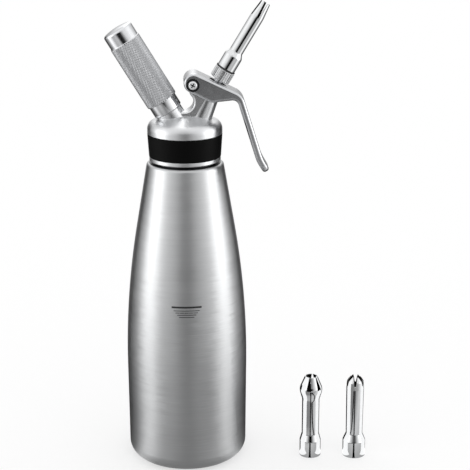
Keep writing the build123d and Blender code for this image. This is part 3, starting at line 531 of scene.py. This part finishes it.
spring = bmesh.new()
bmesh.ops.create_circle(spring, segments=wire_facets, radius=wire_r * mm)
wire_rise = (spring_high - spring_low - 2 * wire_r) / coil_turns
wire_start = Matrix.Translation((coil_r * mm, 0, (spring_low + wire_r) * mm))
spring.transform(wire_start @ Matrix.Rotation(math.pi / 2, 4, "X"))
bmesh.ops.spin(spring, geom=list(spring.verts) + list(spring.edges), cent=(0, 0, 0), axis=(0, 0, 1),
               dvec=(0, 0, wire_rise / turn_facets * mm), angle=2 * math.pi * coil_turns,
               steps=turn_facets * coil_turns)
bmesh.ops.holes_fill(spring, edges=[e for e in spring.edges if e.is_boundary], sides=0)
bmesh.ops.recalc_face_normals(spring, faces=spring.faces)
spring.transform(to_valve)
spring_piece = add_piece("spring_coil", spring, drawn_steel, "head")
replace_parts(spring_piece, "valve_spring")
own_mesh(spring_piece)

# Spring cap
# A flanged cap turned in aluminium like the holder. It sits on the stem over the spring, and the lever's
# pads press on its flange.
dress("spring_cap", holder_polish)

# Lever
# Die-cast in aluminium: two ears hold the pivot, a web with a slot for the stem joins them, and the handle
# falls away in front of the bottle. It is tumbled to a satin; the screw's seat is painted dark as shade.
pivot_x = 6.31 * mm
pivot_z = 312.29 * mm
seat_r = 5.25 * mm
seat_y = -10.5 * mm
lever_cloud = 6 * mm
lever_grit = 0.4 * mm
lever_grit_depth = 0.03 * mm


def near_pivot(material, place, reach, comparison, limit):
    """A mask that is 1 within reach of the pivot's axis and on one side of a limit along that axis."""
    from_pivot = add_node(material, "ShaderNodeVectorMath",
                          {"operation": "SUBTRACT", 1: (pivot_x, 0, pivot_z)}, {0: (place, "Object")})
    across = add_node(material, "ShaderNodeVectorMath", {"operation": "MULTIPLY", 1: (1, 0, 1)},
                      {0: (from_pivot, "Vector")})
    radius = add_node(material, "ShaderNodeVectorMath", {"operation": "LENGTH"}, {0: (across, "Vector")})
    depth = add_node(material, "ShaderNodeSeparateXYZ", links={0: (place, "Object")})
    near_axis = add_node(material, "ShaderNodeMath", {"operation": "LESS_THAN", 1: reach},
                         {0: (radius, "Value")})
    past_limit = add_node(material, "ShaderNodeMath", {"operation": comparison, 1: limit}, {0: (depth, "Y")})
    return add_node(material, "ShaderNodeMath", {"operation": "MULTIPLY"},
                    {0: (near_axis, "Value"), 1: (past_limit, "Value")})


# Tumbled aluminium: even satin; the screw's seat is painted dark grey as the shade in its recess.
lever_satin = new_material("tumbled_cast_aluminium")
place = add_node(lever_satin, "ShaderNodeTexCoord")
cloud = add_node(lever_satin, "ShaderNodeTexNoise", {"Scale": 1 / lever_cloud, "Detail": 3.0},
                 {"Vector": (place, "Object")})
grit = add_node(lever_satin, "ShaderNodeTexNoise", {"Scale": 1 / lever_grit, "Detail": 3.0},
                {"Vector": (place, "Object")})
tone = add_node(lever_satin, "ShaderNodeValToRGB", links={"Fac": (cloud, "Fac")})
tone.color_ramp.elements[0].position = 0.3
tone.color_ramp.elements[0].color = linear("c0c1c3")
tone.color_ramp.elements[1].position = 0.7
tone.color_ramp.elements[1].color = linear("c8c9cb")
gloss = add_node(lever_satin, "ShaderNodeMapRange",
                 {"From Min": 0.3, "From Max": 0.7, "To Min": 0.22, "To Max": 0.25},
                 {"Value": (cloud, "Fac")})
relief = add_node(lever_satin, "ShaderNodeBump", {"Strength": 0.06, "Distance": lever_grit_depth},
                  {"Height": (grit, "Fac")})
# Painted shade: within the seat's radius of the pivot and past its floor the lever is coloured dark grey.
seat_shade = near_pivot(lever_satin, place, seat_r, "LESS_THAN", seat_y)
colour = add_node(lever_satin, "ShaderNodeMix", {"data_type": "RGBA", 7: linear("4e4e50")},
                  {"Factor": (seat_shade, "Value"), 6: (tone, "Color")})
satin = add_node(lever_satin, "ShaderNodeBsdfPrincipled", {"Metallic": 1.0},
                 {"Base Color": (colour, 2), "Roughness": (gloss, "Result"), "Normal": (relief, "Normal")})
add_node(lever_satin, "ShaderNodeOutputMaterial", links={"Surface": (satin, "BSDF")})
dress("lever", lever_satin)

# Pivot
# A sleeve nut through both ears and a cross-recessed screw that closes it, both steel. They are zinc plated
# in a barrel, and the punched cross is painted dark as the shade inside it.
cross_reach = 2.15 * mm
cross_mouth = -12.2 * mm
zinc_haze = 2 * mm

# Zinc plate: pale and softly bright, with the cross painted dark as shade.
pivot_plate = new_material("bright_zinc_plate")
place = add_node(pivot_plate, "ShaderNodeTexCoord")
haze = add_node(pivot_plate, "ShaderNodeTexNoise", {"Scale": 1 / zinc_haze, "Detail": 3.0},
                {"Vector": (place, "Object")})
tone = add_node(pivot_plate, "ShaderNodeValToRGB", links={"Fac": (haze, "Fac")})
tone.color_ramp.elements[0].color = linear("e2e3e4")
tone.color_ramp.elements[1].color = linear("ecedee")
gloss = add_node(pivot_plate, "ShaderNodeMapRange", {"To Min": 0.56, "To Max": 0.64},
                 {"Value": (haze, "Fac")})
# Painted shade: inside the cross recess the plate is coloured dark grey.
cross_shade = near_pivot(pivot_plate, place, cross_reach, "GREATER_THAN", cross_mouth)
colour = add_node(pivot_plate, "ShaderNodeMix", {"data_type": "RGBA", 7: linear("2c2c2e")},
                  {"Factor": (cross_shade, "Value"), 6: (tone, "Color")})
plate = add_node(pivot_plate, "ShaderNodeBsdfPrincipled", {"Metallic": 1.0},
                 {"Base Color": (colour, 2), "Roughness": (gloss, "Result")})
add_node(pivot_plate, "ShaderNodeOutputMaterial", links={"Surface": (plate, "BSDF")})
for node in ("pivot_barrel", "pivot_screw"):
    dress(node, pivot_plate)

# Nozzles
# Three nozzles turned and drawn in brass and plated bright: the straight one with a slotted tip on the
# whipper, a tulip and a star standing by. Plating hardly reaches into a narrow bore, so their insides are
# duller, and they are painted dark as the shade in the bore.
nozzle_axes = {
    "straight_nozzle": ((0, 0, crossing_z), valve_tilt),
    "tulip_nozzle": ((101.6 * mm, -15.3 * mm, 0), 0),
    "star_nozzle": ((138.0 * mm, -17.2 * mm, 0), 0),
}
bore_depth = 0.5 * mm
nickel_haze = 5 * mm

for node, (foot, tilt) in nozzle_axes.items():
    # Bright nickel plate: a mirror with a trace of polishing haze; faces that look at the axis are duller
    # and painted brown-black as the shade inside the bore.
    nozzle_plate = new_material("bright_nickel_plate_" + node)
    place = add_node(nozzle_plate, "ShaderNodeTexCoord")
    haze = add_node(nozzle_plate, "ShaderNodeTexNoise", {"Scale": 1 / nickel_haze, "Detail": 3.0},
                    {"Vector": (place, "Object")})
    tone = add_node(nozzle_plate, "ShaderNodeValToRGB", links={"Fac": (haze, "Fac")})
    tone.color_ramp.elements[0].color = linear("cfd0d1")
    tone.color_ramp.elements[1].color = linear("dbdcdd")
    gloss = add_node(nozzle_plate, "ShaderNodeMapRange", {"To Min": 0.07, "To Max": 0.13},
                     {"Value": (haze, "Fac")})
    from_foot = add_node(nozzle_plate, "ShaderNodeMapping",
                         {"vector_type": "TEXTURE", "Location": foot, "Rotation": (0, tilt, 0)},
                         {"Vector": (place, "Object")})
    from_axis = add_node(nozzle_plate, "ShaderNodeVectorMath", {"operation": "MULTIPLY", 1: (1, 1, 0)},
                         {0: (from_foot, "Vector")})
    facing = add_node(nozzle_plate, "ShaderNodeMapping",
                      {"vector_type": "TEXTURE", "Rotation": (0, tilt, 0)}, {"Vector": (place, "Normal")})
    outward = add_node(nozzle_plate, "ShaderNodeVectorMath", {"operation": "DOT_PRODUCT"},
                       {0: (from_axis, "Vector"), 1: (facing, "Vector")})
    # Painted shade: faces that look at the axis are coloured brown-black; they are also made rougher.
    bore_dull_and_shade = add_node(nozzle_plate, "ShaderNodeMath", {"operation": "LESS_THAN", 1: -bore_depth},
                       {0: (outward, "Value")})
    colour = add_node(nozzle_plate, "ShaderNodeMix", {"data_type": "RGBA", 7: linear("33312f")},
                      {"Factor": (bore_dull_and_shade, "Value"), 6: (tone, "Color")})
    shine = add_node(nozzle_plate, "ShaderNodeMix", {"data_type": "FLOAT", "B": 0.5},
                     {"Factor": (bore_dull_and_shade, "Value"), "A": (gloss, "Result")})
    plate = add_node(nozzle_plate, "ShaderNodeBsdfPrincipled", {"Metallic": 1.0},
                     {"Base Color": (colour, 2), "Roughness": (shine, "Result")})
    add_node(nozzle_plate, "ShaderNodeOutputMaterial", links={"Surface": (plate, "BSDF")})
    dress(node, nozzle_plate)

# Nozzle adaptor
# A brass collar screwed on the stem's top, with straight knurling to hold it by and a threaded spigot that
# takes any of the nozzles. It is plated over an unpolished surface. Sizes are in millimetres along the
# valve's axis.
adaptor_bottom = 53.1
adaptor_top = 62.3
adaptor_r = 8.2
adaptor_edge = 0.6
rib_depth = 0.45
rib_count = 30
rim_r = adaptor_r - rib_depth - adaptor_edge / 2
spigot_top = 70.0
spigot_r = 5.6
spigot_edge_r = 0.4
spigot_facets = 64
stem_bore_r = 3.55
stem_bore_top = 61.0
cream_bore_r = 2.6
thread_start = 65.1
thread_pitch = 2.0
thread_turns = 2
thread_facets = 48
thread_depth = 0.65
thread_sink = 0.1
thread_root = 0.56
thread_crest = 0.26
satin_haze = 1.5 * mm

# Satin nickel plate: pale grey with soft highlights, so each rib reads light against its groove.
satin_plate = new_material("satin_nickel_plate")
place = add_node(satin_plate, "ShaderNodeTexCoord")
haze = add_node(satin_plate, "ShaderNodeTexNoise", {"Scale": 1 / satin_haze, "Detail": 3.0},
                {"Vector": (place, "Object")})
tone = add_node(satin_plate, "ShaderNodeValToRGB", links={"Fac": (haze, "Fac")})
tone.color_ramp.elements[0].color = linear("c4c5c6")
tone.color_ramp.elements[1].color = linear("d4d5d6")
gloss = add_node(satin_plate, "ShaderNodeMapRange", {"To Min": 0.26, "To Max": 0.34},
                 {"Value": (haze, "Fac")})
plate = add_node(satin_plate, "ShaderNodeBsdfPrincipled", {"Metallic": 1.0},
                 {"Base Color": (tone, "Color"), "Roughness": (gloss, "Result")})
add_node(satin_plate, "ShaderNodeOutputMaterial", links={"Surface": (plate, "BSDF")})

# Four columns of corners make each rib: two stand high and two low.
adaptor = bmesh.new()
bmesh.ops.create_cone(adaptor, cap_ends=False, segments=4 * rib_count, radius1=adaptor_r * mm,
                      radius2=adaptor_r * mm, depth=(adaptor_top - adaptor_bottom - 2 * adaptor_edge) * mm)
for vert in adaptor.verts:
    column = round(math.atan2(vert.co.y, vert.co.x) / (2 * math.pi) * 4 * rib_count)
    if column % 4 in (2, 3):
        vert.co.xy *= 1 - rib_depth / adaptor_r
adaptor.transform(Matrix.Translation((0, 0, (adaptor_bottom + adaptor_top) / 2 * mm)))
for edge_z, shift in ((adaptor_bottom + adaptor_edge, -adaptor_edge),
                      (adaptor_top - adaptor_edge, adaptor_edge)):
    rim = [e for e in adaptor.edges if all(abs(v.co.z - edge_z * mm) < close_by for v in e.verts)]
    raised = bmesh.ops.extrude_edge_only(adaptor, edges=rim)["geom"]
    for vert in raised:
        if isinstance(vert, bmesh.types.BMVert):
            vert.co.z += shift * mm
            vert.co.xy *= rim_r * mm / vert.co.xy.length
bmesh.ops.recalc_face_normals(adaptor, faces=adaptor.faces)
adaptor.transform(to_valve)
knurl_piece = add_piece("adaptor_knurl", adaptor, satin_plate, "stem", crease=25)
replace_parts(knurl_piece, "nozzle_adaptor")

spigot = lathe([
    (stem_bore_r, adaptor_bottom), (rim_r, adaptor_bottom), (rim_r, adaptor_top), (spigot_r, adaptor_top),
    (spigot_r, spigot_top), (cream_bore_r, spigot_top), (cream_bore_r, stem_bore_top),
    (stem_bore_r, stem_bore_top), (stem_bore_r, adaptor_bottom)], spigot_facets)
round_corner(spigot, spigot_r, spigot_top, spigot_edge_r)
ridge = bmesh.new()
corners = [(spigot_r - thread_sink, -thread_root), (spigot_r + thread_depth, -thread_crest),
           (spigot_r + thread_depth, thread_crest), (spigot_r - thread_sink, thread_root)]
section = [ridge.verts.new((r * mm, 0, (thread_start + z) * mm)) for r, z in corners]
loop = [ridge.edges.new((section[i - 1], section[i])) for i in range(len(section))]
bmesh.ops.spin(ridge, geom=section + loop, cent=(0, 0, 0), axis=(0, 0, 1),
               dvec=(0, 0, thread_pitch / thread_facets * mm), angle=2 * math.pi * thread_turns,
               steps=thread_facets * thread_turns)
bmesh.ops.holes_fill(ridge, edges=[e for e in ridge.edges if e.is_boundary], sides=0)
bmesh.ops.recalc_face_normals(ridge, faces=ridge.faces)
for name, shape in (("adaptor_spigot", spigot), ("adaptor_thread", ridge)):
    shape.transform(to_valve)
    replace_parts(add_piece(name, shape, satin_plate, "stem"), "nozzle_adaptor")

# Table and backdrop
# A white table top in a white room. The room gives even light from all round, at the level at which a colour
# shows as it is written.


def add_stage(name, shape, material):
    """Adds a piece of the studio, which is no part of the object."""
    mesh = bpy.data.meshes.new(name)
    shape.to_mesh(mesh)
    shape.free()
    mesh.materials.append(material)
    piece = bpy.data.objects.new(name, mesh)
    bpy.context.scene.collection.objects.link(piece)
    return piece


table_half = 6.0
table_glow = 0.55

# White table top: paper white to the camera, with the object's shadow at less than half its depth.
table_white = new_material("white_table")
matt = add_node(table_white, "ShaderNodeBsdfDiffuse", {"Color": linear("ffffff")})
ray = add_node(table_white, "ShaderNodeLightPath")
mirrored = add_node(table_white, "ShaderNodeMath", {"operation": "MAXIMUM"},
                    {0: (ray, "Is Glossy Ray"), 1: (ray, "Is Transmission Ray")})
looked_at = add_node(table_white, "ShaderNodeMath", {"operation": "MAXIMUM"},
                     {0: (ray, "Is Camera Ray"), 1: (mirrored, "Value")})
seen = add_node(table_white, "ShaderNodeMath", {"operation": "MULTIPLY", 1: table_glow},
                {0: (looked_at, "Value")})
paper = add_node(table_white, "ShaderNodeEmission", {"Color": linear("ffffff"), "Strength": 1.0})
top = add_node(table_white, "ShaderNodeMixShader",
               links={"Fac": (seen, "Value"), 1: (matt, "BSDF"), 2: (paper, "Emission")})
add_node(table_white, "ShaderNodeOutputMaterial", links={"Surface": (top, "Shader")})
table = bmesh.new()
bmesh.ops.create_grid(table, x_segments=1, y_segments=1, size=table_half)
add_stage("table", table, table_white)

world = bpy.data.worlds.new("white_room")
bpy.context.scene.world = world
world.use_nodes = True
world.node_tree.nodes.clear()
room = add_node(world, "ShaderNodeBackground", {"Color": linear("ffffff"), "Strength": 1.0})
add_node(world, "ShaderNodeOutputWorld", links={"Surface": (room, "Background")})

# Light tent
# What the polished metal mirrors, and only its rays see: a round cloth tent, dark in front where the camera
# stands, with a softbox at each side, a black flag behind each of them and a third softbox high at the back.
tent_r = 1.5
tent_height = 2.0
tent_facets = 96
floor_lift = 0.2 * mm
# Each level is given for an angle in degrees from the front, the same on both sides; 1 is paper white. The
# cloth fades from its low or near levels to its high or far ones between two distances, in metres, from the
# whipper's foot.
brightest = 3.0
low_wall = [(0, 0), (10, 0), (55, 1.5), (70, brightest), (90, brightest), (105, 1.2), (135, 0), (150, 0),
            (180, 1)]
high_wall = [(0, 0.8), (25, 1.1), (50, 1.1), (70, 1.4), (95, 1.4), (120, 0.9), (155, 0.9), (170, 2),
             (180, 2.3)]
wall_fade = (1.58, 1.75)
near_floor = [(0, 0.3), (40, 0.3), (65, 0.75), (90, 0.15), (120, 0)]
far_floor = [(0, 0.3), (25, 0.75), (50, 0.6), (80, 1.9), (105, 0.5), (140, 0), (180, 0.5)]
floor_fade = (0.1, 0.6)
roof = [(0, 1.2), (150, 1.2), (160, 2), (180, 2.4)]
roof_fade = (0.0, tent_r)


def hide_from_all_but_mirrors(piece):
    """Lets only mirrored rays see a piece of the studio."""
    piece.visible_camera = False
    piece.visible_diffuse = False
    piece.visible_shadow = False
    piece.visible_transmission = False


def tent_cloth(name, near_levels, far_levels, fade_over):
    """A glowing cloth, alike on both sides, that fades from one set of levels to another with distance."""
    material = new_material(name)
    place = add_node(material, "ShaderNodeTexCoord")
    front_to_x = add_node(material, "ShaderNodeMapping", {"Rotation": (0, 0, math.pi / 2)},
                          {"Vector": (place, "Object")})
    angle = add_node(material, "ShaderNodeTexGradient", {"gradient_type": "RADIAL"},
                     {"Vector": (front_to_x, "Vector")})
    side = add_node(material, "ShaderNodeMath", {"operation": "SUBTRACT", 1: 0.5}, {0: (angle, "Fac")})
    share = add_node(material, "ShaderNodeMath", {"operation": "ABSOLUTE"}, {0: (side, "Value")})
    ramps = []
    for levels in (near_levels, far_levels):
        ramp = add_node(material, "ShaderNodeValToRGB", links={"Fac": (share, "Value")})
        stops = ramp.color_ramp.elements
        while len(stops) < len(levels):
            stops.new(1.0)
        for stop, (degrees, value) in zip(stops, levels):
            stop.position = degrees / 360
            stop.color = [value / brightest] * 3 + [1.0]
        ramps.append(ramp)
    distance = add_node(material, "ShaderNodeVectorMath", {"operation": "LENGTH"}, {0: (place, "Object")})
    fade = add_node(material, "ShaderNodeMapRange", {"From Min": fade_over[0], "From Max": fade_over[1]},
                    {"Value": (distance, "Value")})
    level = add_node(material, "ShaderNodeMix", {"data_type": "RGBA"},
                     {"Factor": (fade, "Result"), 6: (ramps[0], "Color"), 7: (ramps[1], "Color")})
    cloth = add_node(material, "ShaderNodeEmission", {"Strength": brightest}, {"Color": (level, 2)})
    add_node(material, "ShaderNodeOutputMaterial", links={"Surface": (cloth, "Emission")})
    return material


tent_wall = bmesh.new()
bmesh.ops.create_cone(tent_wall, cap_ends=False, segments=tent_facets, radius1=tent_r, radius2=tent_r,
                      depth=tent_height)
tent_wall.transform(Matrix.Translation((0, 0, tent_height / 2)))
tent_floor = bmesh.new()
bmesh.ops.create_circle(tent_floor, cap_ends=True, segments=tent_facets, radius=tent_r)
tent_floor.transform(Matrix.Translation((0, 0, floor_lift)))
tent_roof = bmesh.new()
bmesh.ops.create_circle(tent_roof, cap_ends=True, segments=tent_facets, radius=tent_r)
tent_roof.transform(Matrix.Translation((0, 0, tent_height)))
for name, shape, material in (
        ("tent_wall", tent_wall, tent_cloth("tent_wall_cloth", low_wall, high_wall, wall_fade)),
        ("tent_floor", tent_floor, tent_cloth("tent_floor_cloth", near_floor, far_floor, floor_fade)),
        ("tent_roof", tent_roof, tent_cloth("tent_roof_cloth", roof, roof, roof_fade))):
    hide_from_all_but_mirrors(add_stage(name, shape, material))

# Nozzle cards
# White cards stand close beside the spare nozzles and give their bright flanks, and a black strip before
# each gives the dark line down its middle. A card glows only for rays shorter than its reach, so that the
# bottle does not mirror it.
card_places = [83.6 * mm, 120.0 * mm, 156.0 * mm]
card_front = -29 * mm
card_back = -10 * mm
card_height = 80 * mm
card_foot = 9 * mm
card_foot_lift = 0.5 * mm
card_level = 1.4
card_reach = 36 * mm
strip_length = 200 * mm
strip_angle = math.radians(7)
strip_turn = math.radians(-97)
strip_lift = 0.4 * mm

card_paper = new_material("nozzle_card")
ray = add_node(card_paper, "ShaderNodeLightPath")
close = add_node(card_paper, "ShaderNodeMath", {"operation": "LESS_THAN", 1: card_reach},
                 {0: (ray, "Ray Length")})
clear = add_node(card_paper, "ShaderNodeBsdfTransparent")
glow = add_node(card_paper, "ShaderNodeEmission", {"Strength": card_level})
card = add_node(card_paper, "ShaderNodeMixShader",
                links={"Fac": (close, "Value"), 1: (clear, "BSDF"), 2: (glow, "Emission")})
add_node(card_paper, "ShaderNodeOutputMaterial", links={"Surface": (card, "Shader")})
strip_black = new_material("black_strip")
dark = add_node(strip_black, "ShaderNodeEmission", {"Strength": 0.0})
add_node(strip_black, "ShaderNodeOutputMaterial", links={"Surface": (dark, "Emission")})

cards = bmesh.new()
for x in card_places:
    edges = ((card_front, 0), (card_back, 0), (card_back, card_height), (card_front, card_height))
    cards.faces.new([cards.verts.new((x, y, z)) for y, z in edges])
    corners = ((-1, card_front), (1, card_front), (1, card_back), (-1, card_back))
    cards.faces.new([cards.verts.new((x + side * card_foot, y, card_foot_lift)) for side, y in corners])
strips = bmesh.new()
for node in ("tulip_nozzle", "star_nozzle"):
    foot = Vector(nozzle_axes[node][0]) + Vector((0, 0, strip_lift))
    ends = [foot + strip_length * Vector((math.cos(strip_turn + a), math.sin(strip_turn + a), 0))
            for a in (-strip_angle, strip_angle)]
    strips.faces.new([strips.verts.new(corner) for corner in (foot, ends[0], ends[1])])
for name, shape, material in (("nozzle_cards", cards, card_paper), ("black_strips", strips, strip_black)):
    hide_from_all_but_mirrors(add_stage(name, shape, material))

# Camera
# A long lens a good metre in front of the whipper, above it and turned down on it, which is the photograph's
# viewing angle.
camera = bpy.data.objects.new("camera", bpy.data.cameras.new("camera"))
camera.data.sensor_width = 36.0
camera.data.lens = 109.5
camera.location = (-0.0182, -1.1029, 0.5231)
camera.rotation_euler = (math.radians(73.1), 0, math.radians(-3.0))
bpy.context.scene.collection.objects.link(camera)
bpy.context.scene.camera = camera
bpy.context.scene.view_settings.view_transform = "Standard"
